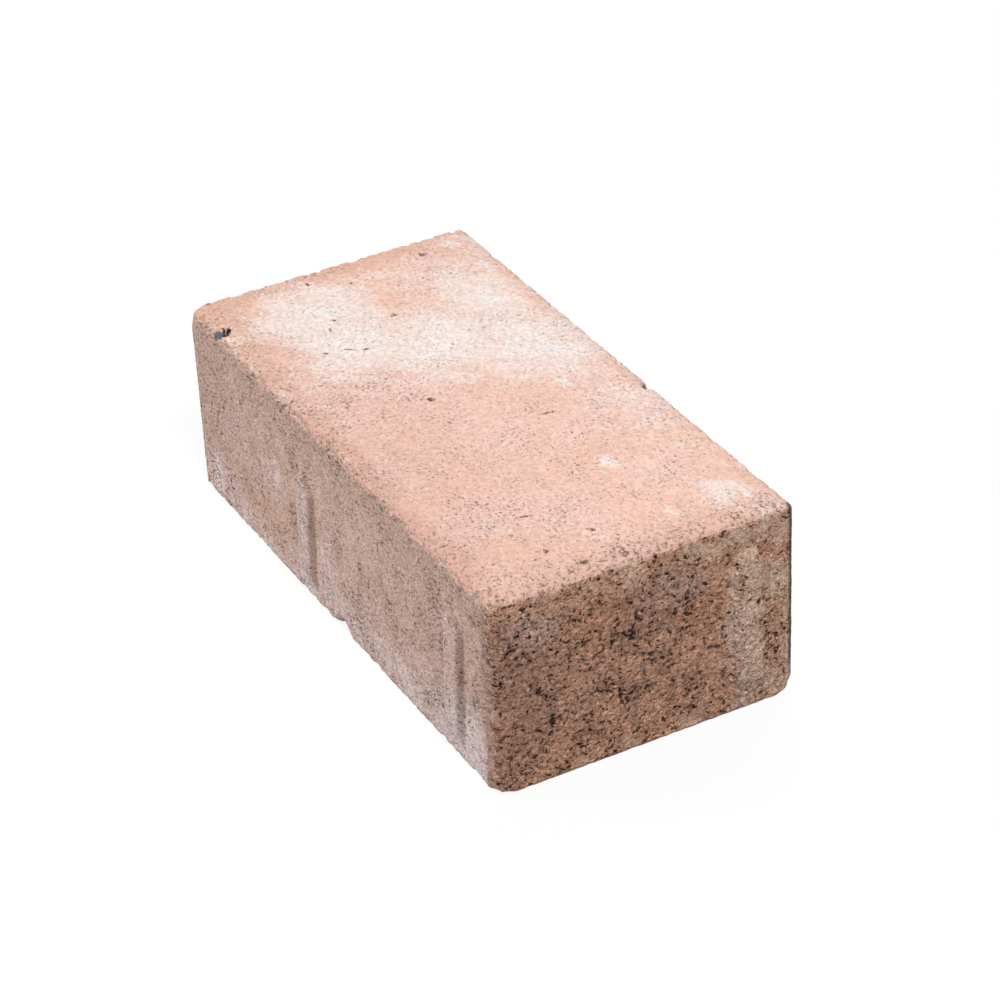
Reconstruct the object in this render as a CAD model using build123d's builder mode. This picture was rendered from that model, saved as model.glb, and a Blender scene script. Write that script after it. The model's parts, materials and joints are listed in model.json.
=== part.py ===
from build123d import *
import os

# A pressed concrete paving stone, one piece, lying on its bed face with its wearing face up.
# Lengths are in millimetres. The origin is the middle of the bed face.

# Block
length = 198.0
width = 98.0
thickness = 65.0
corner_radius = 2.5  # upright corners
foot_round = 0.8  # edge all round the bed face

# Wearing face: a flat field, a shallow sloping margin round it, then a steep arris
end_margin = 7.0
side_margin = 6.0
margin_fall = 0.7
field_corner_radius = 6.0
arris_run = 1.0
arris_drop = 1.4

# Spacer ribs, moulded on the sides, that keep the joint to the next stone open
rib_root_width = 10.8
rib_crest_width = 7.6
rib_projection = 2.0
rib_crest_round = 2.5
rib_foot_height = 4.0  # from the bed face to the foot of every rib
rib_foot_run = 8.0  # height over which a foot slopes out from the side to the crest

# Ribs of one long side, placed from the end face beside the near rib to the middle of each foot
near_rib_place = 25.3
near_rib_height = 50.5
far_rib_place = 120.0
far_rib_height = 45.0
side_rib_lean = 4.5  # degrees, the heads nearer that end face than the feet

# Rib of one end, upright, placed from the long side behind it to the middle of its foot
end_rib_place = 15.7
end_rib_height = 54.5

# Worked out
edge_height = thickness - margin_fall
shoulder_height = edge_height - arris_drop
rib_seat = rib_projection + foot_round  # depth of a rib inside the block
head_radius = rib_root_width / 2
wedge_reach = 2 * rib_projection  # well past the crest
wedge_rise = 2 * rib_foot_run

# Half of a rib's plan section: the side of the block is y = 0, the rib's middle is x = 0
with BuildSketch() as rib_half_section:
    with BuildLine():
        Polyline(
            (0, -rib_seat),
            (rib_root_width / 2, -rib_seat),
            (rib_root_width / 2, 0),
            (rib_crest_width / 2, rib_projection),
            (0, rib_projection),
            close=True,
        )
    make_face()
    crest_corner = rib_half_section.vertices().group_by(Axis.Y)[-1].sort_by(Axis.X)[-1]
    fillet(crest_corner, rib_crest_round)

# Each rib stands on a plane whose y points out of the block: middle of the foot, x direction, lean, height
front_side = -width / 2
right_end = length / 2
ribs_of_two_sides = [
    ((right_end - near_rib_place, front_side, rib_foot_height), (-1, 0, 0), side_rib_lean, near_rib_height),
    ((right_end - far_rib_place, front_side, rib_foot_height), (-1, 0, 0), side_rib_lean, far_rib_height),
    ((right_end, width / 2 - end_rib_place, rib_foot_height), (0, -1, 0), 0, end_rib_height),
]

with BuildPart() as spacer_ribs:
    for foot_middle, along_side, lean, rib_height in ribs_of_two_sides:
        foot = Plane(origin=foot_middle, x_dir=along_side, z_dir=(0, 0, 1)).rotated((0, lean, 0))
        straight_height = rib_height - rib_foot_height - head_radius
        head = foot.offset(straight_height)
        # straight rib up to its head
        with BuildSketch(foot):
            add(rib_half_section.sketch)
            mirror(about=Plane.YZ)
        extrude(amount=straight_height)
        # domed head: the same half section turned over the top of the rib
        with BuildSketch(head):
            add(rib_half_section.sketch)
        revolve(axis=Axis(head.origin, -head.y_dir), revolution_arc=180)
        # foot: a wedge is taken off, so that the rib slopes back to the side above the bed face
        with BuildSketch(Plane(origin=foot.origin, x_dir=foot.y_dir, z_dir=foot.x_dir)):
            with BuildLine():
                Polyline((0, 0), (wedge_reach, 0), (wedge_reach, wedge_rise), close=True)
            make_face()
        extrude(amount=rib_root_width, both=True, mode=Mode.SUBTRACT)

with BuildPart() as paving_stone:
    # body up to the arris
    with BuildSketch():
        RectangleRounded(length, width, corner_radius)
    extrude(amount=shoulder_height)
    # steep arris
    with BuildSketch(Plane.XY.offset(shoulder_height)):
        RectangleRounded(length, width, corner_radius)
    with BuildSketch(Plane.XY.offset(edge_height)) as edge_outline:
        RectangleRounded(length - 2 * arris_run, width - 2 * arris_run, corner_radius - arris_run)
    loft()
    # shallow margin up to the flat field
    with BuildSketch(Plane.XY.offset(edge_height)):
        add(edge_outline.sketch_local)
    with BuildSketch(Plane.XY.offset(thickness)):
        RectangleRounded(length - 2 * end_margin, width - 2 * side_margin, field_corner_radius)
    loft()
    # rounded edge of the bed face
    fillet(faces().sort_by(Axis.Z)[0].edges(), foot_round)
    # the same ribs on opposite sides, half a turn apart, so that they miss those of the next stone
    with PolarLocations(0, 2):
        add(spacer_ribs.part)

paving_stone.part.label = "paving_stone"

os.makedirs("parts", exist_ok=True)
export_step(paving_stone.part, "parts/paving_stone.step")
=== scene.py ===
import json
import math
import bpy
from mathutils import Matrix, Vector

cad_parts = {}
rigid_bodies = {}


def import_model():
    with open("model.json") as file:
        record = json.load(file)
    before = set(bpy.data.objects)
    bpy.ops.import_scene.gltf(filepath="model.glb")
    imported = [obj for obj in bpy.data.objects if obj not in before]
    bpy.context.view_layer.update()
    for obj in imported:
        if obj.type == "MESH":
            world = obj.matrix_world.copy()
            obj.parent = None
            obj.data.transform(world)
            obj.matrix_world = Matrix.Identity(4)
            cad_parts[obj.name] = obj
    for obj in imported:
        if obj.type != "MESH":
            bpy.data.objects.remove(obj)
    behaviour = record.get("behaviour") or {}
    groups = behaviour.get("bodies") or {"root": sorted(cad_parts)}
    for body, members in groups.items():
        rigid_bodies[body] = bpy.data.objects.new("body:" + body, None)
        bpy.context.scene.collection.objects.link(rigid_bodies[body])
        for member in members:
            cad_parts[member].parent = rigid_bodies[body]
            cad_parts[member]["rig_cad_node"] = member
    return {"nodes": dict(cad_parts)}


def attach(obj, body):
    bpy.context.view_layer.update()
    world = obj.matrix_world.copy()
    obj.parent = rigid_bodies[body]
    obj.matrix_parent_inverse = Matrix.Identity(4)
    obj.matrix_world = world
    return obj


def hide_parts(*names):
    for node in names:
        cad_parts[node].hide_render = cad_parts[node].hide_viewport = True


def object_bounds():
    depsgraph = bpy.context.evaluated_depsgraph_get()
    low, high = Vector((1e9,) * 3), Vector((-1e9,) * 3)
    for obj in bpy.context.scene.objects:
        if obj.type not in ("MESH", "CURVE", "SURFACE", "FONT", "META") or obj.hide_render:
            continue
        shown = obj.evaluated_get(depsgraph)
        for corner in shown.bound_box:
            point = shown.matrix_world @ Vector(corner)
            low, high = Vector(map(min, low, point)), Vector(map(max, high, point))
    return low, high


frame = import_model()
cadBox = [list(corner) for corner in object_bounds()]
print("frame loaded", cadBox)

perMetre = 1000.0  # the frame is in metres, the stone is shaped and painted in millimetres


# node helpers, for the relief and the materials

def addNode(tree, kind, **settings):
    node = tree.nodes.new(kind)
    for name, value in settings.items():
        setattr(node, name, value)
    return node


def feed(tree, socket, value):
    if isinstance(value, bpy.types.NodeSocket):
        tree.links.new(value, socket)
    else:
        socket.default_value = value


def calc(tree, operation, *values):
    node = addNode(tree, "ShaderNodeMath", operation=operation)
    for socket, value in zip(node.inputs, values):
        feed(tree, socket, value)
    return node.outputs[0]


def chain(tree, operation, values):
    result = values[0]
    for value in values[1:]:
        result = calc(tree, operation, result, value)
    return result


def total(tree, *values):
    return chain(tree, "ADD", values)


def product(tree, *values):
    return chain(tree, "MULTIPLY", values)


def highest(tree, *values):
    return chain(tree, "MAXIMUM", values)


def less(tree, value, part):
    return calc(tree, "SUBTRACT", value, part)


def swing(tree, value, amount):
    # a noise as a swing to both sides of 0
    return product(tree, less(tree, value, 0.5), amount)


def weighted(tree, parts, weights):
    return total(tree, *(product(tree, part, weight) for part, weight in zip(parts, weights)))


def blend(tree, factor, first, second):
    return calc(tree, "MULTIPLY_ADD", less(tree, second, first), factor, first)


def vectorCalc(tree, operation, *values):
    node = addNode(tree, "ShaderNodeVectorMath", operation=operation)
    for socket, value in zip(node.inputs, values):
        feed(tree, socket, value)
    return node.outputs["Value"] if operation in ("LENGTH", "DISTANCE") else node.outputs[0]


def scaled(tree, vector, factor):
    node = addNode(tree, "ShaderNodeVectorMath", operation="SCALE")
    feed(tree, node.inputs[0], vector)
    feed(tree, node.inputs["Scale"], factor)
    return node.outputs[0]


def ramp(tree, value, start, end, low=0.0, high=1.0):
    node = addNode(tree, "ShaderNodeMapRange", interpolation_type="SMOOTHSTEP")
    settings = {"Value": value, "From Min": start, "From Max": end, "To Min": low, "To Max": high}
    for name, setting in settings.items():
        feed(tree, node.inputs[name], setting)
    return node.outputs[0]


def noise(tree, vector, size, detail=2.0, rough=0.5, output="Fac"):
    node = addNode(tree, "ShaderNodeTexNoise")
    feed(tree, node.inputs["Vector"], vector)
    node.inputs["Scale"].default_value = 1 / size
    node.inputs["Detail"].default_value = detail
    node.inputs["Roughness"].default_value = rough
    return node.outputs[output]


def turned(tree, vector, axis, degrees, stretch):
    # place seen along a turned axis and stretched along it, for streaks
    node = addNode(tree, "ShaderNodeVectorRotate", rotation_type=axis)
    feed(tree, node.inputs["Vector"], vector)
    node.inputs["Angle"].default_value = math.radians(degrees)
    return vectorCalc(tree, "MULTIPLY", node.outputs[0], (1 / stretch, 1, 1))


def split(tree, vector):
    node = addNode(tree, "ShaderNodeSeparateXYZ")
    tree.links.new(vector, node.inputs[0])
    return node.outputs[0], node.outputs[1], node.outputs[2]


def cells(tree, vector, size):
    node = addNode(tree, "ShaderNodeTexVoronoi")
    feed(tree, node.inputs["Vector"], vector)
    node.inputs["Scale"].default_value = 1 / size
    return split(tree, node.outputs["Color"])[0]


def wander(tree, vector, size, reach, detail=2.0):
    # the same place, pushed about by a noise, so that what is drawn there gets a ragged rim
    push = noise(tree, vector, size, detail, output="Color")
    push = vectorCalc(tree, "SUBTRACT", push, (0.5, 0.5, 0.5))
    return vectorCalc(tree, "ADD", vector, scaled(tree, push, 2 * reach))


def patch(tree, vector, place, size, turn=0.0, tilt=0.0):
    # 1 in the middle of an egg-shaped patch, 0 at its rim
    away = vectorCalc(tree, "SUBTRACT", vector, place)
    if turn or tilt:
        level = addNode(tree, "ShaderNodeVectorRotate", rotation_type="EULER_XYZ", invert=True)
        tree.links.new(away, level.inputs["Vector"])
        level.inputs["Rotation"].default_value = (0, math.radians(tilt), math.radians(turn))
        away = level.outputs[0]
    reach = vectorCalc(tree, "LENGTH", vectorCalc(tree, "DIVIDE", away, size))
    return highest(tree, less(tree, 1.0, reach), 0.0)


def patches(tree, vector, rows):
    # the strongest of some patches: middle, half sizes, strength, then turn and tilt in degrees if any
    found = [
        product(tree, patch(tree, vector, middle, size, *angles), strength)
        for middle, size, strength, *angles in rows
    ]
    return highest(tree, *found)


def tint(tree, factor, first, second):
    node = addNode(tree, "ShaderNodeMix", data_type="RGBA")
    feed(tree, node.inputs["Factor"], factor)
    feed(tree, node.inputs[6], first)
    feed(tree, node.inputs[7], second)
    return node.outputs[2]


# the stone's mesh: a copy of the CAD solid, remeshed fine enough to carry its relief

stoneShape = {
    "mesh": 1.15,  # mm between points, half of that on the ends, the ribs and the arrises
    "merge": 0.01,  # points of the solid that are nearer than this are one
    "halfLength": 99.0,
    "halfWidth": 49.0,
    "thickness": 65.0,
    "ribPlaces": (76.0, -19.3),  # along the front side, and half a turn round on the back
    "ribReach": 8.5,
    "ribTop": 54.0,
    "ribBand": 0.6,  # bands from the faces of the block that get the finer mesh
    "endBand": 2.5,
    "arrisBand": 2.0,
    "arrisFoot": 62.0,
    "footBand": 0.8,  # no finer mesh below this height
    "bedBand": 0.1,
    "bedRim": 5.0,
    "bedShare": 0.05,  # part of the hidden bed's faces that is kept
    "boxGap": 0.02,  # the relief stays this far inside the CAD box
    "facingWave": 9.0,  # the edge of the finer facing concrete swings up and down
    "facingSwing": 9.0,
    "mottle": 9.0,  # sizes of the grain, in mm
    "clods": 4.2,
    "clodSwell": 10.0,
    "cracks": 1.6,
    "crackStretch": (0.5, 0.8, 1.15),
    "crackCrowd": 0.24,
    "gaps": 4.5,
    "sideGrain": 2.6,
    "sideSwell": 22.0,
    "topGrain": 3.2,
    "crumbs": 3.4,
    "endDepth": 0.8,  # depths of the relief, in mm
    "sideDepth": 0.13,
    "topDepth": 0.1,
    "arrisWear": 1.25,
    "footWear": 0.4,
    "dentFloor": 0.15,  # flat part of a dent's reach
}

# where a ramp starts and ends, then its two levels if they aren't 0 and 1
reliefRamps = {
    "onTop": (2.0, 0.9),  # mm inside a face
    "onBed": (0.6, 0.15),
    "nearTop": (3.2, 0.4),
    "nearFoot": (3.2, 0.3),
    "nearUpright": (2.8, 0.3),
    "endFades": (60.0, 95.0, 8.0, 13.0),  # mm along the stone
    "endFull": (60.0, 95.0, 5.0, 8.0),
    "crispEnd": (90.0, 97.5, 1.0, 0.4),
    "behindRib": (48.0, 42.0, 0.2, 1.0),
    "facing": (5.0, 12.0, 0.4, 1.0),  # mm below the top
    "cracks": (0.47, 0.33, 0.0, -0.8),  # of noises
    "gaps": (0.40, 0.30, 0.0, -0.6),
    "crumbs": (0.45, 0.64),
}

# place, reach and depth of single dents, in mm
wornPlaces = [
    ((99.0, -49.0, 0.0), 6.5, 1.3),  # foot corners
    ((99.0, 49.0, 0.0), 6.5, 1.3),
    ((-99.0, 49.0, 0.0), 8.0, 1.8),
    ((-99.0, -49.0, 64.0), 6.5, 1.0),  # top corner at the left
    ((99.0, -49.0, 30.0), 7.0, 0.7),
    ((1.0, -49.0, 0.0), 5.0, 2.6),  # nick in the foot of the front side
]
pitPlaces = [
    ((-77.4, -45.8, 65.2), 2.8, 1.8),  # hole at the front arris
    ((20.0, 48.4, 64.0), 3.4, 2.0),  # nick in the back arris
    ((101.0, 33.0, 37.5), 2.2, 0.9),  # break across the right end's rib
    ((101.0, 36.5, 36.5), 2.2, 1.2),
    ((101.0, 37.0, 22.0), 2.2, 0.8),
    ((-47.4, -49.0, 22.8), 1.8, 0.8),  # front side
    ((-29.4, -49.0, 27.8), 1.8, 0.8),
    ((88.3, -49.0, 53.2), 2.2, 0.9),
    ((95.2, -49.0, 44.3), 2.4, 0.9),
    ((-60.0, 49.0, 40.0), 2.2, 0.9),  # back side
    ((36.0, 49.0, 22.0), 2.4, 1.0),
]


def selectFaces(piece, test):
    bpy.context.tool_settings.mesh_select_mode = (False, False, True)
    mesh = piece.data
    mesh.vertices.foreach_set("select", [False] * len(mesh.vertices))
    mesh.edges.foreach_set("select", [False] * len(mesh.edges))
    mesh.polygons.foreach_set("select", [test(polygon.center * perMetre) for polygon in mesh.polygons])


def needsDetail(middle):
    shape = stoneShape
    fromEnd = shape["halfLength"] - abs(middle.x)
    fromSide = shape["halfWidth"] - abs(middle.y)
    if middle.z > shape["arrisFoot"]:
        return min(fromEnd, fromSide) < shape["arrisBand"]
    if middle.z < shape["footBand"]:
        return False
    if fromEnd < shape["endBand"]:
        return True
    along = middle.x if middle.y < 0 else -middle.x
    nearRib = any(abs(along - rib) < shape["ribReach"] for rib in shape["ribPlaces"])
    return nearRib and fromSide < shape["ribBand"] and middle.z < shape["ribTop"]


def inBed(middle):
    shape = stoneShape
    inLength = abs(middle.x) < shape["halfLength"] - shape["bedRim"]
    inWidth = abs(middle.y) < shape["halfWidth"] - shape["bedRim"]
    return inLength and inWidth and middle.z < shape["bedBand"]


def copyStone():
    shape = stoneShape
    bpy.ops.object.select_all(action="DESELECT")
    solid = frame["nodes"]["paving_stone"]
    solid.select_set(True)
    bpy.context.view_layer.objects.active = solid
    bpy.ops.object.duplicate()
    stone = bpy.context.active_object
    stone.name = stone.data.name = "pavingStone"
    del stone["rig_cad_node"]  # the copy is a piece of its own
    stone.data.materials.clear()
    bpy.ops.object.mode_set(mode="EDIT")
    bpy.ops.mesh.select_all(action="SELECT")
    bpy.ops.mesh.remove_doubles(threshold=shape["merge"] / perMetre)
    bpy.ops.object.mode_set(mode="OBJECT")
    remesh = stone.modifiers.new("remesh", "REMESH")
    remesh.mode = "VOXEL"
    remesh.voxel_size = shape["mesh"] / perMetre
    bpy.ops.object.modifier_apply(modifier=remesh.name)
    selectFaces(stone, needsDetail)
    bpy.ops.object.mode_set(mode="EDIT")
    bpy.ops.mesh.subdivide(number_cuts=1)
    bpy.ops.object.mode_set(mode="OBJECT")
    selectFaces(stone, inBed)
    bpy.ops.object.mode_set(mode="EDIT")
    bpy.ops.mesh.decimate(ratio=shape["bedShare"])
    bpy.ops.mesh.select_all(action="DESELECT")
    bpy.ops.object.mode_set(mode="OBJECT")
    # the new points go back onto the solid, which brings its crisp ribs and arrises back
    wrap = stone.modifiers.new("wrap", "SHRINKWRAP")
    wrap.target = solid
    wrap.wrap_method = "NEAREST_SURFACEPOINT"
    bpy.ops.object.modifier_apply(modifier=wrap.name)
    return stone


# relief: noises of the grain, in mm along the normal

def mottleNoise(tree, place):
    return noise(tree, place, stoneShape["mottle"], 3.0, 0.6)


def crackNoise(tree, place, mottle):
    # cracks of the ends run level and are crowded in places
    shape = stoneShape
    flattened = vectorCalc(tree, "MULTIPLY", place, shape["crackStretch"])
    crack = noise(tree, flattened, shape["cracks"], 4.0, 0.74)
    return calc(tree, "ADD", crack, swing(tree, mottle, shape["crackCrowd"]))


def locate(tree):
    # a point's place in mm, and how far it is inside each face of the block
    shape = stoneShape
    place = scaled(tree, addNode(tree, "GeometryNodeInputPosition").outputs[0], perMetre)
    x, y, z = split(tree, place)
    return {
        "place": place,
        "x": x,
        "y": y,
        "z": z,
        "fromEnd": less(tree, shape["halfLength"], calc(tree, "ABSOLUTE", x)),
        "fromSide": less(tree, shape["halfWidth"], calc(tree, "ABSOLUTE", y)),
        "fromTop": less(tree, shape["thickness"], z),
    }


def towardsRib(tree, x, y):
    # place across an end, counted from its front corner to its rib, the same half a turn round
    return product(tree, y, calc(tree, "SIGN", x))


def endGrain(tree, where, mottle):
    # flat clods with cracks and gaps between them, finer in the facing concrete
    shape = stoneShape
    place = where["place"]
    clods = calc(tree, "ABSOLUTE", less(tree, noise(tree, place, shape["clods"], 3.0, 0.6), 0.5))
    lumps = total(
        tree,
        product(tree, clods, 4.4),
        swing(tree, noise(tree, place, shape["clodSwell"], 1.0), 1.0),
        -0.35,
    )
    gaps = total(
        tree,
        ramp(tree, crackNoise(tree, place, mottle), *reliefRamps["cracks"]),
        ramp(tree, noise(tree, place, shape["gaps"], 3.0, 0.6), *reliefRamps["gaps"]),
    )
    wave = swing(tree, noise(tree, place, shape["facingWave"]), shape["facingSwing"])
    openness = ramp(tree, calc(tree, "ADD", where["fromTop"], wave), *reliefRamps["facing"])
    # smoother at the corner behind the rib
    smooth = ramp(tree, towardsRib(tree, where["x"], where["y"]), *reliefRamps["behindRib"])
    return product(tree, calc(tree, "ADD", lumps, gaps), openness, smooth, shape["endDepth"])


def sideGrain(tree, place):
    # closer than the ends
    shape = stoneShape
    grain = noise(tree, place, shape["sideGrain"], 3.0, 0.6)
    grain = total(
        tree,
        product(tree, less(tree, grain, 0.55), 2.4),
        swing(tree, noise(tree, place, shape["sideSwell"], 1.0), 2.0),
    )
    return product(tree, grain, shape["sideDepth"])


def topGrain(tree, place):
    # nearly flat
    shape = stoneShape
    grain = noise(tree, place, shape["topGrain"], 3.0, 0.55)
    return product(tree, less(tree, grain, 0.75), shape["topDepth"])


def crumbledArris(tree, where):
    shape = stoneShape
    ramps = reliefRamps
    nearTop = ramp(tree, where["fromTop"], *ramps["nearTop"])
    nearFoot = ramp(tree, where["z"], *ramps["nearFoot"])
    fromUpright = calc(tree, "MINIMUM", where["fromEnd"], where["fromSide"])
    crumbs = ramp(tree, noise(tree, where["place"], shape["crumbs"], 3.0, 0.65), *ramps["crumbs"])
    crumbs = product(tree, crumbs, ramp(tree, where["x"], *ramps["crispEnd"]))  # less at the right end
    depth = weighted(tree, (nearTop, nearFoot), (-shape["arrisWear"], -shape["footWear"]))
    return product(tree, ramp(tree, fromUpright, *ramps["nearUpright"]), crumbs, depth)


def carve(tree, relief, place, dents):
    for middle, reach, depth in dents:
        away = vectorCalc(tree, "DISTANCE", place, middle)
        dent = ramp(tree, away, reach, reach * stoneShape["dentFloor"], 0.0, depth)
        relief = less(tree, relief, dent)
    return relief


# stains, painted shade and painted highlights, kept on the points for the material: the patches are rows for
# patches()

stonePatches = {
    "topBloom": [
        ((-70, -18, 65), (30, 30, 40), 1.0),
        ((-50, -16, 65), (30, 30, 40), 1.0),
        ((-36, 8, 65), (34, 34, 40), 1.0, 30),
        ((-20, 30, 65), (38, 28, 40), 1.0, 20),
        ((-52, 33, 65), (38, 20, 40), 0.85),
        ((30, 38, 65), (50, 18, 40), 0.4),
        ((83, 33, 65), (16, 13, 40), 0.55),
    ],
    "topOrange": [((-84, 34, 65), (26, 26, 30), 1.0)],
    "frontOrange": [((-78, -46, 65), (30, 12, 30), 1.0)],
    "sideLime": [
        ((81, -49, 4), (28, 20, 24), 1.7),
        ((46, -49, 2), (18, 20, 15), 1.0),
        ((-23, -49, 6), (16, 20, 18), 0.8),
        ((-86, -49, 8), (12, 20, 16), 0.9),
        ((-8, -49, 19), (9, 20, 18), 0.55, 0, 20),
        ((-43, -49, 32), (10, 20, 17), 0.3),
        ((-75, -49, 32), (22, 20, 20), 0.2),
        ((-60, 49, 8), (40, 20, 16), 1.0),
        ((30, 49, 44), (24, 20, 16), 0.6),
    ],
    "sideRust": [
        ((-50, -49, 13), (30, 20, 14), 1.0),
        ((20, 49, 16), (26, 20, 14), 1.0),
    ],
    "endDustAndHighlight": [
        ((99, -36, 53), (20, 13, 11), 1.0),
        ((99, 12, 50), (20, 20, 11), 0.7),
        # painted highlight along a flank of each end's rib
        ((100, 29, 20), (20, 4, 40), 1.6),
        ((-100, -29, 24), (20, 4, 40), 1.6),
        ((-99, 20, 8), (20, 22, 10), 1.0),
    ],
    "endRust": [
        ((99, -16, 47), (20, 13, 11), 1.0),
        ((99, 20, 40), (20, 13, 12), 1.0),
        ((-99, 14, 36), (20, 18, 13), 1.0),
    ],
    "endRib": [
        ((101, 33, 24), (40, 8, 44), 1.0),
        ((-101, -33, 24), (40, 8, 44), 1.0),
    ],
    "endDark": [((99, 2, 46), (20, 32, 15), 1.0)],
}

# ramps as above, in mm along the stone, across it or upwards, unless they are of a patch or a noise
stainRamps = {
    "bloomLeft": (20.0, -50.0, 0.0, 0.2),
    "bloomRim": (-94.0, -82.0),
    "bloomBack": (26.0, 46.0, 0.0, 0.22),
    "leftOrange": (-86.0, -95.0),
    "topOrange": (0.0, 0.5, 0.0, 0.3),
    "frontOrange": (0.0, 0.5),
    # painted shade on the top's front and right margins and front half
    "frontMargin": (-36.0, -47.0),
    "rightMargin": (84.0, 97.0, 0.0, 0.5),
    "frontHalf": (10.0, -40.0, 0.0, 0.35),
    "limeFoot": (26.0, 4.0, 0.0, 0.45),
    "limeCloud": (0.34, 0.60, 0.4, 1.3),
    # band and level of the painted highlight on the ribs' crests
    "crest": (49.9, 50.8),
    "crestPale": (60.0, 30.0, 0.28, 0.4),
    "sideMottle": (0.36, 0.70),
    "underArris": (46.0, 58.0, 0.0, 0.75),
    "sideRight": (20.0, 80.0, 0.0, 0.35),
    "aboveLime": (10.0, 40.0),
    "sideLeft": (-50.0, -85.0, 0.0, 0.9),
    "endTop": (53.0, 60.0, 0.0, 0.6),
    "endFoot": (14.0, 2.0, 0.0, 0.5),
    "rightEnd": (60.0, 90.0),
    "rightRib": (15.0, 40.0, 0.0, 0.7),
    "leftEnd": (-60.0, -90.0),
    "leftRib": (-15.0, -40.0, 0.0, 0.7),
    "endRib": (0.0, 0.4),
    "endCorner": (-15.0, -42.0),
    "endDark": (0.0, 0.6, 0.0, 0.9),
    "endMottle": (0.65, 0.35),
    "ribHead": (55.0, 52.0),
    "ribFoot": (4.0, 10.0),
    "ribClear": (6.0, 9.0),
    # painted shade on the ribs' slopes that look up or towards the near end, and a painted highlight on
    # their other slopes
    "ribShadeSide": (0.05, 0.8, 0.0, 0.62),  # of the normal
    "ribShadeTop": (0.1, 0.7, 0.0, 0.75),
    "ribHighlightSide": (-0.02, -0.3, 0.0, 0.85),
}


def topStains(tree, ragged, mottle):
    # pale bloom, orange margins, and painted shade on the front half and the front and right margins
    rows, ramps = stonePatches, stainRamps
    x, y, _ = split(tree, ragged)
    bloom = highest(
        tree,
        patches(tree, ragged, rows["topBloom"]),
        product(tree, ramp(tree, x, *ramps["bloomLeft"]), ramp(tree, x, *ramps["bloomRim"])),
        ramp(tree, y, *ramps["bloomBack"]),
    )
    streak = noise(tree, turned(tree, ragged, "Z_AXIS", -48.0, 3.5), 4.5, 3.0, 0.6)
    pale = total(tree, bloom, swing(tree, mottle, 0.4), swing(tree, streak, 1.1))
    rust = highest(
        tree,
        ramp(tree, x, *ramps["leftOrange"]),
        ramp(tree, patches(tree, ragged, rows["topOrange"]), *ramps["topOrange"]),
        ramp(tree, patches(tree, ragged, rows["frontOrange"]), *ramps["frontOrange"]),
    )
    dark = highest(
        tree,
        ramp(tree, y, *ramps["frontMargin"]),
        ramp(tree, x, *ramps["rightMargin"]),
        ramp(tree, y, *ramps["frontHalf"]),
    )
    return pale, rust, dark


def sideStains(tree, place, ragged, mottle):
    # lime that has come out, rust, and a browner band under the arris
    rows, ramps = stonePatches, stainRamps
    x, _, z = split(tree, ragged)
    pale = highest(tree, patches(tree, ragged, rows["sideLime"]), ramp(tree, z, *ramps["limeFoot"]))
    pale = product(tree, pale, ramp(tree, noise(tree, ragged, 6.0, 3.0, 0.65), *ramps["limeCloud"]))
    # painted highlight on the ribs' crests
    outward = calc(tree, "ABSOLUTE", split(tree, place)[1])
    crest = ramp(tree, outward, *ramps["crest"], 0.0, ramp(tree, x, *ramps["crestPale"]))
    dark = highest(
        tree,
        ramp(tree, mottle, *ramps["sideMottle"]),
        ramp(tree, z, *ramps["underArris"]),
        product(tree, ramp(tree, x, *ramps["sideRight"]), ramp(tree, z, *ramps["aboveLime"])),
        ramp(tree, x, *ramps["sideLeft"]),
    )
    return highest(tree, pale, crest), patches(tree, ragged, rows["sideRust"]), dark


def endStains(tree, ragged, mottle):
    # dust with a painted highlight along a flank of the ends' ribs, rust, and paler concrete at the top, at
    # the foot and beside the rib
    rows, ramps = stonePatches, stainRamps
    x, y, z = split(tree, ragged)
    light = highest(
        tree,
        ramp(tree, z, *ramps["endTop"]),
        product(tree, ramp(tree, x, *ramps["rightEnd"]), ramp(tree, y, *ramps["rightRib"])),
        product(tree, ramp(tree, x, *ramps["leftEnd"]), ramp(tree, y, *ramps["leftRib"])),
        ramp(tree, patches(tree, ragged, rows["endRib"]), *ramps["endRib"]),
        ramp(tree, z, *ramps["endFoot"]),
    )
    # darker towards the front corner at the right, and half a turn round
    corner = ramp(tree, towardsRib(tree, x, y), *ramps["endCorner"])
    middle = ramp(tree, patches(tree, ragged, rows["endDark"]), *ramps["endDark"])
    dark = highest(tree, ramp(tree, mottle, *ramps["endMottle"]), corner, middle)
    dark = less(tree, dark, product(tree, light, 1.4))
    return patches(tree, ragged, rows["endDustAndHighlight"]), patches(tree, ragged, rows["endRust"]), dark


def keep(tree, geometry, name, value):
    node = addNode(tree, "GeometryNodeStoreNamedAttribute", data_type="FLOAT", domain="POINT")
    feed(tree, node.inputs["Geometry"], geometry)
    node.inputs["Name"].default_value = name
    feed(tree, node.inputs["Value"], value)
    return node.outputs[0]


def insideBox(tree, moved):
    # nothing stands proud of the CAD box
    low = [value * perMetre + stoneShape["boxGap"] for value in cadBox[0]]
    high = [value * perMetre - stoneShape["boxGap"] for value in cadBox[1]]
    low[2] = 0.0
    return vectorCalc(tree, "MINIMUM", vectorCalc(tree, "MAXIMUM", moved, low), high)


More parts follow.
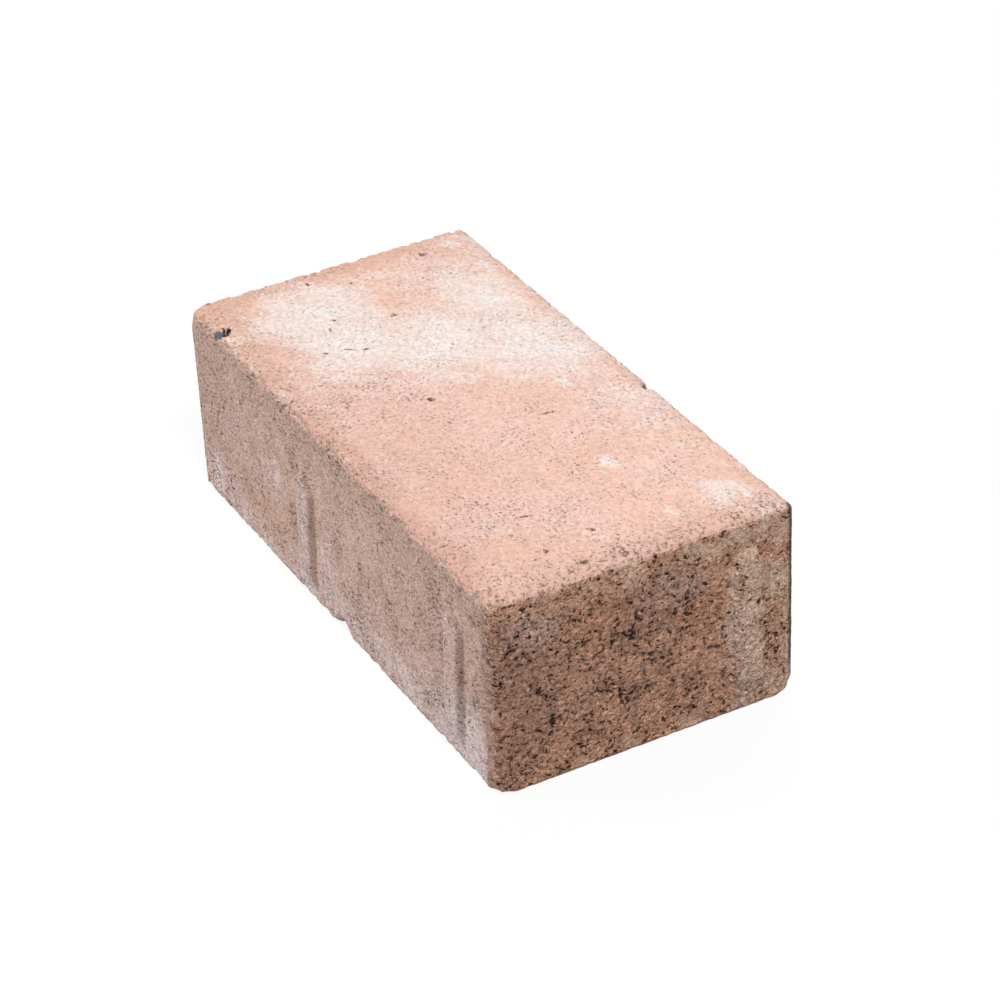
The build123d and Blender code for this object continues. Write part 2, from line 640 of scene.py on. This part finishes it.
def buildRelief():
    tree = bpy.data.node_groups.new("concreteRelief", "GeometryNodeTree")
    tree.interface.new_socket("Geometry", in_out="INPUT", socket_type="NodeSocketGeometry")
    tree.interface.new_socket("Geometry", in_out="OUTPUT", socket_type="NodeSocketGeometry")
    start = addNode(tree, "NodeGroupInput")
    where = locate(tree)
    place = where["place"]
    normal = addNode(tree, "GeometryNodeInputNormal").outputs[0]
    mottle = mottleNoise(tree, place)

    # share of the wearing face, the ends and the long sides in a point
    onTop = ramp(tree, where["fromTop"], *reliefRamps["onTop"])
    onBed = ramp(tree, where["z"], *reliefRamps["onBed"])
    upright = less(tree, less(tree, 1.0, onTop), onBed)
    # the open grain of the ends goes a little way round the corners, further at the right
    raggedEnd = calc(tree, "ADD", where["fromEnd"], product(tree, noise(tree, place, 5.0, 3.0, 0.6), 7.0))
    fadesFrom = ramp(tree, where["x"], *reliefRamps["endFades"])
    fullFrom = ramp(tree, where["x"], *reliefRamps["endFull"])
    nearEnd = ramp(tree, raggedEnd, fadesFrom, fullFrom)
    onEnd = product(tree, nearEnd, upright)
    onSide = product(tree, less(tree, 1.0, nearEnd), upright)

    relief = total(
        tree,
        product(tree, endGrain(tree, where, mottle), onEnd),
        product(tree, sideGrain(tree, place), onSide),
        product(tree, topGrain(tree, place), onTop),
    )
    roughPlace = wander(tree, place, 1.8, 0.7)
    relief = carve(tree, relief, roughPlace, pitPlaces)
    wear = carve(tree, crumbledArris(tree, where), roughPlace, wornPlaces)

    ragged = wander(tree, wander(tree, place, 16.0, 5.0, 3.0), 2.2, 1.2)
    stains = zip(
        sideStains(tree, place, ragged, mottle),
        endStains(tree, ragged, mottle),
        topStains(tree, ragged, mottle),
    )
    pale, rust, dark = (
        blend(tree, onTop, blend(tree, nearEnd, ofSide, ofEnd), ofTop) for ofSide, ofEnd, ofTop in stains
    )
    # painted shade on the slopes of the ribs that look up or towards the near end, a painted highlight on
    # the others
    facing = split(tree, normal)
    alongSide = product(tree, facing[0], calc(tree, "SIGN", where["y"]), -1.0)
    ramps = stainRamps
    onRibs = product(
        tree, onSide,
        ramp(tree, where["z"], *ramps["ribHead"]),
        ramp(tree, where["fromEnd"], *ramps["ribClear"]),
    )
    ribShade = highest(tree, ramp(tree, alongSide, *ramps["ribShadeSide"]), ramp(tree, facing[2], *ramps["ribShadeTop"]))
    ribHighlight = product(tree, ramp(tree, alongSide, *ramps["ribHighlightSide"]), onRibs)
    marks = {
        "relief": relief,
        "onTop": onTop,
        "onEnd": onEnd,
        # the pale marks also carry the painted highlight on the ribs' slopes
        "pale": highest(tree, pale, ribHighlight),
        "rust": rust,
        "dark": dark,
        "ribShade": product(tree, ribShade, onRibs, ramp(tree, where["z"], *ramps["ribFoot"])),
    }
    geometry = start.outputs[0]
    for name, value in marks.items():
        geometry = keep(tree, geometry, name, value)

    move = addNode(tree, "GeometryNodeSetPosition")
    tree.links.new(geometry, move.inputs["Geometry"])
    moved = vectorCalc(tree, "ADD", place, scaled(tree, normal, calc(tree, "ADD", relief, wear)))
    tree.links.new(scaled(tree, insideBox(tree, moved), 1 / perMetre), move.inputs["Position"])
    finish = addNode(tree, "NodeGroupOutput")
    tree.links.new(move.outputs[0], finish.inputs[0])
    return tree


stone = copyStone()
print("stone remeshed", len(stone.data.polygons), "faces")
roughen = stone.modifiers.new("relief", "NODES")
roughen.node_group = buildRelief()
bpy.ops.object.modifier_apply(modifier=roughen.name)
bpy.ops.object.shade_smooth()
triangles = sum(len(polygon.vertices) - 2 for polygon in stone.data.polygons)
print("relief carved", triangles, "triangles")


# concrete

concreteLook = {
    "salmon": (0.90, 0.585, 0.468, 1),  # wearing face
    "pink": (0.92, 0.63, 0.545, 1),
    "orange": (0.77, 0.47, 0.36, 1),
    # painted shade on the top's front half and front and right margins
    "margin": (0.72, 0.44, 0.35, 1),
    "bloom": (0.93, 0.76, 0.69, 1),
    "white": (0.95, 0.89, 0.86, 1),
    # painted shade in the pits and the nick of the top
    "pitShade": (0.22, 0.115, 0.085, 1),
    "side": (0.75, 0.52, 0.44, 1),  # long sides
    "sideDark": (0.60, 0.40, 0.32, 1),
    # painted deep shade in pits, dents and on the ribs' shaded slopes
    "deepShade": (0.13, 0.075, 0.055, 1),
    "sideRust": (0.68, 0.44, 0.33, 1),
    "lime": (0.87, 0.71, 0.70, 1),
    # tan of the ends round the corners, made lighter as a painted highlight against the rounded corners'
    # shade
    "corner": (0.89, 0.565, 0.43, 1),
    "end": (0.87, 0.48, 0.325, 1),  # ends
    "endDark": (0.66, 0.365, 0.255, 1),
    "endPale": (0.98, 0.68, 0.52, 1),
    "endDustAndHighlight": (0.93, 0.665, 0.575, 1),
    # dust, and a painted highlight along a flank of the ends' ribs
    "endRust": (0.79, 0.40, 0.235, 1),
    # painted shade in the ends' cracks
    "creviceShade": (0.05, 0.022, 0.014, 1),
    "flint": (0.155, 0.162, 0.185, 1),  # single marks
    # painted shade in the hole at the front arris
    "holeShade": (0.022, 0.018, 0.018, 1),
    # painted shade on the corner behind the right end's rib
    "cornerShade": (0.06, 0.045, 0.075, 1),
    "sand": 0.85,  # sizes of the grain, in mm
    "speck": 1.7,
    "pits": 1.1,
    "cloud": 34.0,
    "sideSand": 0.42,
    "sideSpeck": 0.85,
    "topShade": (0.22, 0.45),  # depth of shade from sand grain to sand grain, and from speck to speck
    "sideShade": (0.6, 0.9),
    "endShade": (0.6, 0.8),
    "topCrowd": (0.22, 0.12, 0.03, -0.02),  # pits are crowded by mottle, cloud, dark and bloom
    "sideCrowd": (0.2, 0.035),  # by mottle and dark
    "topBump": (0.3, 0.35, -0.6),  # shares of small pits, specks and holes
    "endBump": (3.2, 0.3, -0.7),  # of clods, small pits and holes
    "sideBump": (0.35, -0.35),  # of specks and pits
    "bumpDepth": 0.001,  # metres
    "specular": 0.25,
}

# ramps as above, of noises, patches and stains, or in mm
colourRamps = {
    "cloud": (0.38, 0.62),
    "bloom": (0.26, 0.8),
    "frost": (0.75, 1.25, 0.0, 0.7),
    "spots": (0.2, 0.9),
    "crowdRight": (80.0, 95.0, 0.0, 0.045),
    "topHoles": (0.42, 0.31),
    "topPits": (0.42, 0.31, 0.0, 0.75),
    "topDeep": (0.32, 0.20, 0.0, 0.9),
    "lime": (0.0, 0.9, 0.0, 0.9),
    "sideRust": (0.0, 0.7, 0.0, 0.75),
    "scratches": (0.0, 0.6, 0.0, 0.3),
    "smear": (0.0, 0.9, 0.0, 0.6),
    "sidePits": (0.38, 0.28),
    "sideDentShade": (-0.4, -1.0, 0.0, 0.85),
    "endDark": (0.0, 1.0),
    "endPale": (0.0, -1.0),
    "endRust": (0.0, 0.8, 0.0, 0.6),
    "endDustAndHighlight": (0.0, 0.9, 0.0, 0.45),
    "closed": (0.0, -1.2, 0.0, 0.12),
    "cracks": (0.455, 0.375),
    "fineCracks": (0.405, 0.33),
    "endDentShade": (-0.6, -1.3),
    "flint": (0.0, 0.3),
    "holeShade": (0.0, 0.35),
    "nickShade": (0.0, 0.5, 0.0, 0.9),
    "cornerShade": (0.0, 0.45, 0.0, 0.8),
    "cornerShadeFoot": (4.0, 12.0),
    "topShare": (63.15, 63.5),
    "endShare": (0.3, 0.9),
    "endPlane": (96.2, 97.8),
    "creviceShadeMask": (94.0, 97.8, 0.15, 1.0),
    "roughness": (0.3, 0.7, 0.82, 0.98),
    "bump": (0.2, 0.8, 1.0, 0.6),
}

# single marks, as rows for patches(): marks of the material, and painted shade in the hole, the nick, the
# pits and on a corner
concreteMarks = {
    "spots": [
        ((6.5, 26.6, 65), (5.0, 3.6, 9), 1.0, 10),
        ((52.0, 15.5, 65), (6.4, 4.6, 9), 1.0, 20),
        ((88.0, 40.0, 65), (4.4, 3.0, 9), 0.9),
        ((84.5, 17.0, 65), (4.6, 3.2, 9), 0.8, 10),
        ((-90.0, 39.5, 65), (8.0, 5.4, 9), 0.8, 30),
        ((-71.0, 42.0, 65), (9.0, 5.4, 9), 0.8, 15),
    ],
    "scratches": [
        ((-4.9, -49, 54.6), (7.2, 9, 0.8), 1.0, 0, 41),
        ((11.5, -49, 41.2), (5.6, 9, 0.8), 1.0, 0, 31),
        ((-55.0, -49, 41.4), (3.6, 9, 0.6), 1.0, 0, 40),
    ],
    "smear": [((-39.2, -49, 33.0), (2.4, 9, 6.0), 1.0, 0, 20)],
    "flint": [((-78.0, -47.9, 63.9), (4.6, 2.0, 2.2), 1.0, 63)],
    # painted shade in the hole at the front arris
    "holeShade": [
        ((-77.4, -45.8, 64.0), (1.3, 1.1, 6.0), 1.0),
        ((-79.4, -45.6, 64.0), (1.1, 0.6, 6.0), 1.0),
        ((-78.6, -44.4, 64.0), (1.1, 0.7, 6.0), 1.0),
    ],
    # painted shade in the nick in the back arris
    "nickShade": [((20.0, 48.2, 64.2), (3.0, 2.4, 2.4), 1.0)],
    # painted shade strip on the corner behind the right end's rib
    "cornerShade": [((98.1, 48.5, 0), (2.3, 2.3, 2.3), 1.0)],
    "topPits": [
        ((-88.0, 28.5, 65), (2.2, 1.6, 9), 1.0, 60),
        ((-90.3, -11.0, 65), (1.9, 1.4, 9), 1.0, 20),
        ((-83.3, 1.0, 65), (1.4, 1.1, 9), 1.0),
        ((-65.0, -14.3, 65), (1.8, 1.5, 9), 1.0, 60),
        ((-57.8, 3.0, 65), (1.9, 1.5, 9), 1.0, 60),
        ((-60.4, -18.0, 65), (1.4, 1.1, 9), 1.0),
        ((-32.4, 9.7, 65), (1.5, 1.2, 9), 1.0),
        ((-43.7, -14.1, 65), (1.7, 1.1, 9), 1.0, 50),
        ((-46.5, -18.8, 65), (3.4, 0.9, 9), 1.0, 60),
        ((-48.0, -25.5, 65), (2.0, 1.0, 9), 1.0, 60),
        ((-6.2, -11.3, 65), (2.2, 1.5, 9), 1.0, 40),
        ((19.0, 14.0, 65), (4.2, 1.0, 9), 1.0, 78),
        ((83.2, -22.5, 65), (1.8, 1.5, 9), 1.0),
        ((64.5, -18.9, 65), (3.2, 0.9, 9), 1.0, 70),
        ((93.5, -16.2, 65), (2.2, 1.3, 9), 1.0, 30),
        ((80.2, -6.3, 65), (1.9, 1.1, 9), 1.0, 45),
    ],
}


def grainShade(tree, sandTone, speck, depths):
    # about 1, a little less or more from grain to grain
    sandDepth, speckDepth = depths
    shade = calc(tree, "MULTIPLY_ADD", sandTone, sandDepth, 1.0 - sandDepth / 2 - speckDepth / 2)
    return calc(tree, "MULTIPLY_ADD", speck, speckDepth, shade)


def wearingFace(tree, field):
    look, ramps = concreteLook, colourRamps
    speck = field["speck"]
    colour = tint(tree, ramp(tree, field["cloud"], *ramps["cloud"]), look["salmon"], look["pink"])
    # painted shade on the front half and the front and right margins
    colour = tint(tree, field["dark"], colour, look["margin"])
    colour = tint(tree, product(tree, field["rust"], 0.8), colour, look["orange"])
    frost = calc(tree, "ADD", field["pale"], product(tree, speck, 0.4))
    bloom = ramp(tree, frost, *ramps["bloom"])
    colour = tint(tree, bloom, colour, look["bloom"])
    colour = tint(tree, ramp(tree, frost, *ramps["frost"]), colour, look["white"])
    spots = calc(tree, "ADD", patches(tree, field["place"], concreteMarks["spots"]), swing(tree, speck, 0.9))
    spots = ramp(tree, spots, *ramps["spots"])
    colour = tint(tree, product(tree, spots, 0.85), colour, look["white"])
    colour = scaled(tree, colour, grainShade(tree, field["sandTone"], speck, look["topShade"]))

    # many small pits, crowded in places, and single larger ones, painted dark as the shade in them
    byMottle, byCloud, byDark, byBloom = look["topCrowd"]
    crowd = total(
        tree,
        swing(tree, field["mottle"], byMottle),
        swing(tree, field["cloud"], byCloud),
        product(tree, field["dark"], byDark),
        ramp(tree, split(tree, field["place"])[0], *ramps["crowdRight"]),
        product(tree, bloom, byBloom),
    )
    level = less(tree, field["pitNoise"], crowd)
    single = less(tree, level, product(tree, patches(tree, field["place"], concreteMarks["topPits"]), 0.3))
    colour = tint(tree, ramp(tree, single, *ramps["topPits"]), colour, look["pitShade"])
    colour = tint(tree, ramp(tree, single, *ramps["topDeep"]), colour, look["deepShade"])
    return colour, ramp(tree, level, *ramps["topHoles"])


def longSide(tree, field):
    look, ramps = concreteLook, colourRamps
    colour = tint(tree, field["dark"], look["side"], look["sideDark"])
    grain = turned(tree, field["place"], "Y_AXIS", 20.0, 1.7)
    speck = noise(tree, grain, look["sideSpeck"], 3.0, 0.75)
    sandTone = cells(tree, grain, look["sideSand"])
    lime = calc(tree, "ADD", field["pale"], swing(tree, speck, 0.8))
    colour = tint(tree, ramp(tree, lime, *ramps["lime"]), colour, look["lime"])
    colour = tint(tree, ramp(tree, field["rust"], *ramps["sideRust"]), colour, look["sideRust"])
    colour = scaled(tree, colour, grainShade(tree, sandTone, speck, look["sideShade"]))
    scratches = patches(tree, field["crumbled"], concreteMarks["scratches"])
    smear = patches(tree, field["crumbled"], concreteMarks["smear"])
    pale = highest(tree, ramp(tree, scratches, *ramps["scratches"]), ramp(tree, smear, *ramps["smear"]))
    colour = tint(tree, pale, colour, look["white"])
    byMottle, byDark = look["sideCrowd"]
    crowd = calc(tree, "ADD", swing(tree, field["mottle"], byMottle), product(tree, field["dark"], byDark))
    # the pits are painted dark as the shade in them
    pits = ramp(tree, less(tree, speck, crowd), *ramps["sidePits"])
    colour = tint(tree, product(tree, pits, 0.8), colour, look["deepShade"])
    # painted shade on the ribs' slopes that look up or towards the near end
    colour = tint(tree, product(tree, field["ribShade"], 0.55), colour, look["deepShade"])
    # painted shade where the relief is deep
    colour = tint(tree, ramp(tree, field["relief"], *ramps["sideDentShade"]), colour, look["deepShade"])
    return colour, weighted(tree, (speck, pits), look["sideBump"])


def openEnd(tree, field):
    look, ramps = concreteLook, colourRamps
    speck = field["speck"]
    colour = tint(tree, ramp(tree, field["dark"], *ramps["endDark"]), look["end"], look["endDark"])
    colour = tint(tree, ramp(tree, field["dark"], *ramps["endPale"]), colour, look["endPale"])
    colour = tint(tree, ramp(tree, field["rust"], *ramps["endRust"]), colour, look["endRust"])
    dust = calc(tree, "ADD", field["pale"], swing(tree, speck, 0.8))
    colour = tint(tree, ramp(tree, dust, *ramps["endDustAndHighlight"]), colour, look["endDustAndHighlight"])
    return scaled(tree, colour, grainShade(tree, field["sandTone"], speck, look["endShade"]))


def endCracks(tree, field):
    ramps = colourRamps
    closed = ramp(tree, field["dark"], *ramps["closed"])
    cracks = calc(tree, "ADD", crackNoise(tree, field["place"], field["mottle"]), closed)
    return highest(
        tree,
        ramp(tree, cracks, *ramps["cracks"]),
        product(tree, ramp(tree, field["pitNoise"], *ramps["fineCracks"]), 0.8),
        # painted shade where the relief is deep
        ramp(tree, field["relief"], *ramps["endDentShade"]),
    )


def singleMarks(tree, field, colour, z):
    look, ramps = concreteLook, colourRamps
    rows = concreteMarks
    # hole at the front arris, with a blue-grey stone in it, and painted shade in the hole
    flint = ramp(tree, patches(tree, field["crumbled"], rows["flint"]), *ramps["flint"])
    colour = tint(tree, flint, colour, look["flint"])
    holeShade = ramp(tree, patches(tree, field["crumbled"], rows["holeShade"]), *ramps["holeShade"])
    colour = tint(tree, holeShade, colour, look["holeShade"])
    # painted shade in the nick in the back arris, and a painted shade strip on the corner behind the end's
    # rib
    nickShade = ramp(tree, patches(tree, field["crumbled"], rows["nickShade"]), *ramps["nickShade"])
    colour = tint(tree, nickShade, colour, look["pitShade"])
    inPlan = vectorCalc(tree, "MULTIPLY", field["place"], (1, 1, 0))
    cornerShadeMask = ramp(tree, patches(tree, inPlan, rows["cornerShade"]), *ramps["cornerShade"])
    cornerShadeMask = product(tree, cornerShadeMask, ramp(tree, z, *ramps["cornerShadeFoot"]))
    return tint(tree, cornerShadeMask, colour, look["cornerShade"])


def makeConcrete():
    look, ramps = concreteLook, colourRamps
    material = bpy.data.materials.new("concrete")
    material.use_nodes = True
    tree = material.node_tree
    shader = tree.nodes["Principled BSDF"]
    place = scaled(tree, addNode(tree, "ShaderNodeTexCoord").outputs["Object"], perMetre)
    x, _, z = split(tree, place)
    field = {
        "place": place,
        "sandTone": cells(tree, place, look["sand"]),  # single grains of sand
        "speck": noise(tree, place, look["speck"], 3.0, 0.65),
        "pitNoise": noise(tree, place, look["pits"], 3.0, 0.75),
        "mottle": mottleNoise(tree, place),
        "cloud": noise(tree, place, look["cloud"], 2.0, 0.5),
        "crumbled": wander(tree, place, 1.4, 0.8),
    }
    for name in ("relief", "onTop", "onEnd", "pale", "rust", "dark", "ribShade"):
        field[name] = addNode(tree, "ShaderNodeAttribute", attribute_name=name).outputs["Fac"]
    top, topHoles = wearingFace(tree, field)
    side, sideHeight = longSide(tree, field)
    end = openEnd(tree, field)

    # colour changes along the arrises, the cracks of the ends run on a little round the corners
    jitter = less(tree, field["speck"], 0.5)
    raggedReach = calc(tree, "MULTIPLY_ADD", jitter, 4.0, calc(tree, "ABSOLUTE", x))
    raggedHeight = calc(tree, "MULTIPLY_ADD", jitter, 0.9, z)
    topShare = ramp(tree, raggedHeight, *ramps["topShare"])
    endShare = ramp(tree, field["onEnd"], *ramps["endShare"])
    # tan round the upright corners, also a painted highlight that offsets the shade of the rounded corners
    side = tint(tree, product(tree, endShare, 0.6), side, look["corner"])
    colour = tint(tree, ramp(tree, raggedReach, *ramps["endPlane"]), side, end)
    endHoles = product(tree, endCracks(tree, field), endShare)
    # painted shade in the ends' cracks, dents and fine pits, near the end planes
    creviceShadeMask = product(tree, endHoles, ramp(tree, raggedReach, *ramps["creviceShadeMask"]))
    colour = tint(tree, creviceShadeMask, colour, look["creviceShade"])
    colour = tint(tree, topShare, colour, top)
    colour = singleMarks(tree, field, colour, z)
    tree.links.new(colour, shader.inputs["Base Color"])
    roughness = ramp(tree, field["speck"], *ramps["roughness"])
    tree.links.new(roughness, shader.inputs["Roughness"])
    shader.inputs["Specular IOR Level"].default_value = look["specular"]

    # grain too fine for the mesh
    clods = calc(tree, "ABSOLUTE", jitter)
    endHeight = weighted(tree, (clods, field["pitNoise"], endHoles), look["endBump"])
    topHeight = weighted(tree, (field["pitNoise"], field["speck"], topHoles), look["topBump"])
    grainHeight = blend(tree, topShare, blend(tree, endShare, sideHeight, endHeight), topHeight)
    bump = addNode(tree, "ShaderNodeBump")
    bump.inputs["Distance"].default_value = look["bumpDepth"]
    feed(tree, bump.inputs["Strength"], ramp(tree, field["onTop"], *ramps["bump"]))
    tree.links.new(grainHeight, bump.inputs["Height"])
    tree.links.new(bump.outputs[0], shader.inputs["Normal"])
    return material


stone.data.materials.append(makeConcrete())
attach(stone, "root")
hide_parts("paving_stone")
print("concrete laid on")


# floor, light and camera

studio = {
    "floorSize": 12.0,
    "floorDrop": 0.0001,
    "floorRough": 0.9,
    "floorColour": (0.35, 0.35, 0.35, 1),
    "floorSeen": (0.14, 0.14, 0.14, 1),  # seen by the camera together with the glow: a faint shadow
    "floorGlow": 0.88,
    "skyLight": 0.25,
    "lampDistance": 1.7,
    # name, direction towards the lamp, power and size
    "lamps": [
        ("backLamp", (-0.45, 0.4, 0.8), 7.0, 0.8),
        ("keyLamp", (-0.6, -0.75, 0.28), 13.0, 0.5),
        ("overLamp", (0.53, -0.12, 0.84), 15.0, 0.35),
    ],
}


def seenRays(tree):
    # 1 for what is seen, straight or in a reflection, 0 for what lights the stone
    rays = addNode(tree, "ShaderNodeLightPath").outputs
    return highest(tree, rays["Is Camera Ray"], rays["Is Glossy Ray"], rays["Is Transmission Ray"])


bpy.ops.object.select_all(action="DESELECT")
bpy.ops.mesh.primitive_plane_add(size=studio["floorSize"], location=(0, 0, -studio["floorDrop"]))
floor = bpy.context.active_object
floor.name = "floor"
floorPaint = bpy.data.materials.new("floorPaint")
floorPaint.use_nodes = True
tree = floorPaint.node_tree
paint = tree.nodes["Principled BSDF"]
paint.inputs["Roughness"].default_value = studio["floorRough"]
paint.inputs["Specular IOR Level"].default_value = 0.0
seen = seenRays(tree)
tree.links.new(tint(tree, seen, studio["floorColour"], studio["floorSeen"]), paint.inputs["Base Color"])
paint.inputs["Emission Color"].default_value = (1, 1, 1, 1)
tree.links.new(product(tree, seen, studio["floorGlow"]), paint.inputs["Emission Strength"])
floor.data.materials.append(floorPaint)

world = bpy.data.worlds.new("studioWorld")
bpy.context.scene.world = world
world.use_nodes = True
tree = world.node_tree
sky = tree.nodes["Background"]
sky.inputs["Color"].default_value = (1, 1, 1, 1)
tree.links.new(ramp(tree, seenRays(tree), 0.0, 1.0, studio["skyLight"], 1.0), sky.inputs["Strength"])

for lampName, lampWay, power, size in studio["lamps"]:
    way = Vector(lampWay).normalized()
    bpy.ops.object.light_add(type="AREA", location=way * studio["lampDistance"])
    lamp = bpy.context.active_object
    lamp.name = lampName
    lamp.data.energy = power
    lamp.data.size = size
    lamp.rotation_euler = way.to_track_quat("Z", "Y").to_euler()

photoView = {
    "azimuth": 62.72,
    "elevation": 32.6,
    "roll": -2.82,
    "distance": 1.01405,
    "aside": 0.00622,
    "above": -0.0029,
    "lens": 120.63,
    "target": (0, 0, 0.0325),
}

turn, lift, roll = (math.radians(photoView[name]) for name in ("azimuth", "elevation", "roll"))
back = Vector((math.sin(turn) * math.cos(lift), -math.cos(turn) * math.cos(lift), math.sin(lift)))
flat = Vector((math.cos(turn), math.sin(turn), 0))
steep = back.cross(flat)
right = flat * math.cos(roll) + steep * math.sin(roll)
up = steep * math.cos(roll) - flat * math.sin(roll)
aim = Vector(photoView["target"]) + right * photoView["aside"] + up * photoView["above"]
bpy.ops.object.camera_add()
camera = bpy.context.active_object
camera.name = "photoCamera"
camera.location = aim + back * photoView["distance"]
camera.rotation_euler = Matrix((right, up, back)).transposed().to_euler()
camera.data.lens = photoView["lens"]
bpy.context.scene.camera = camera
bpy.context.scene.view_settings.view_transform = "Standard"
print("studio set")
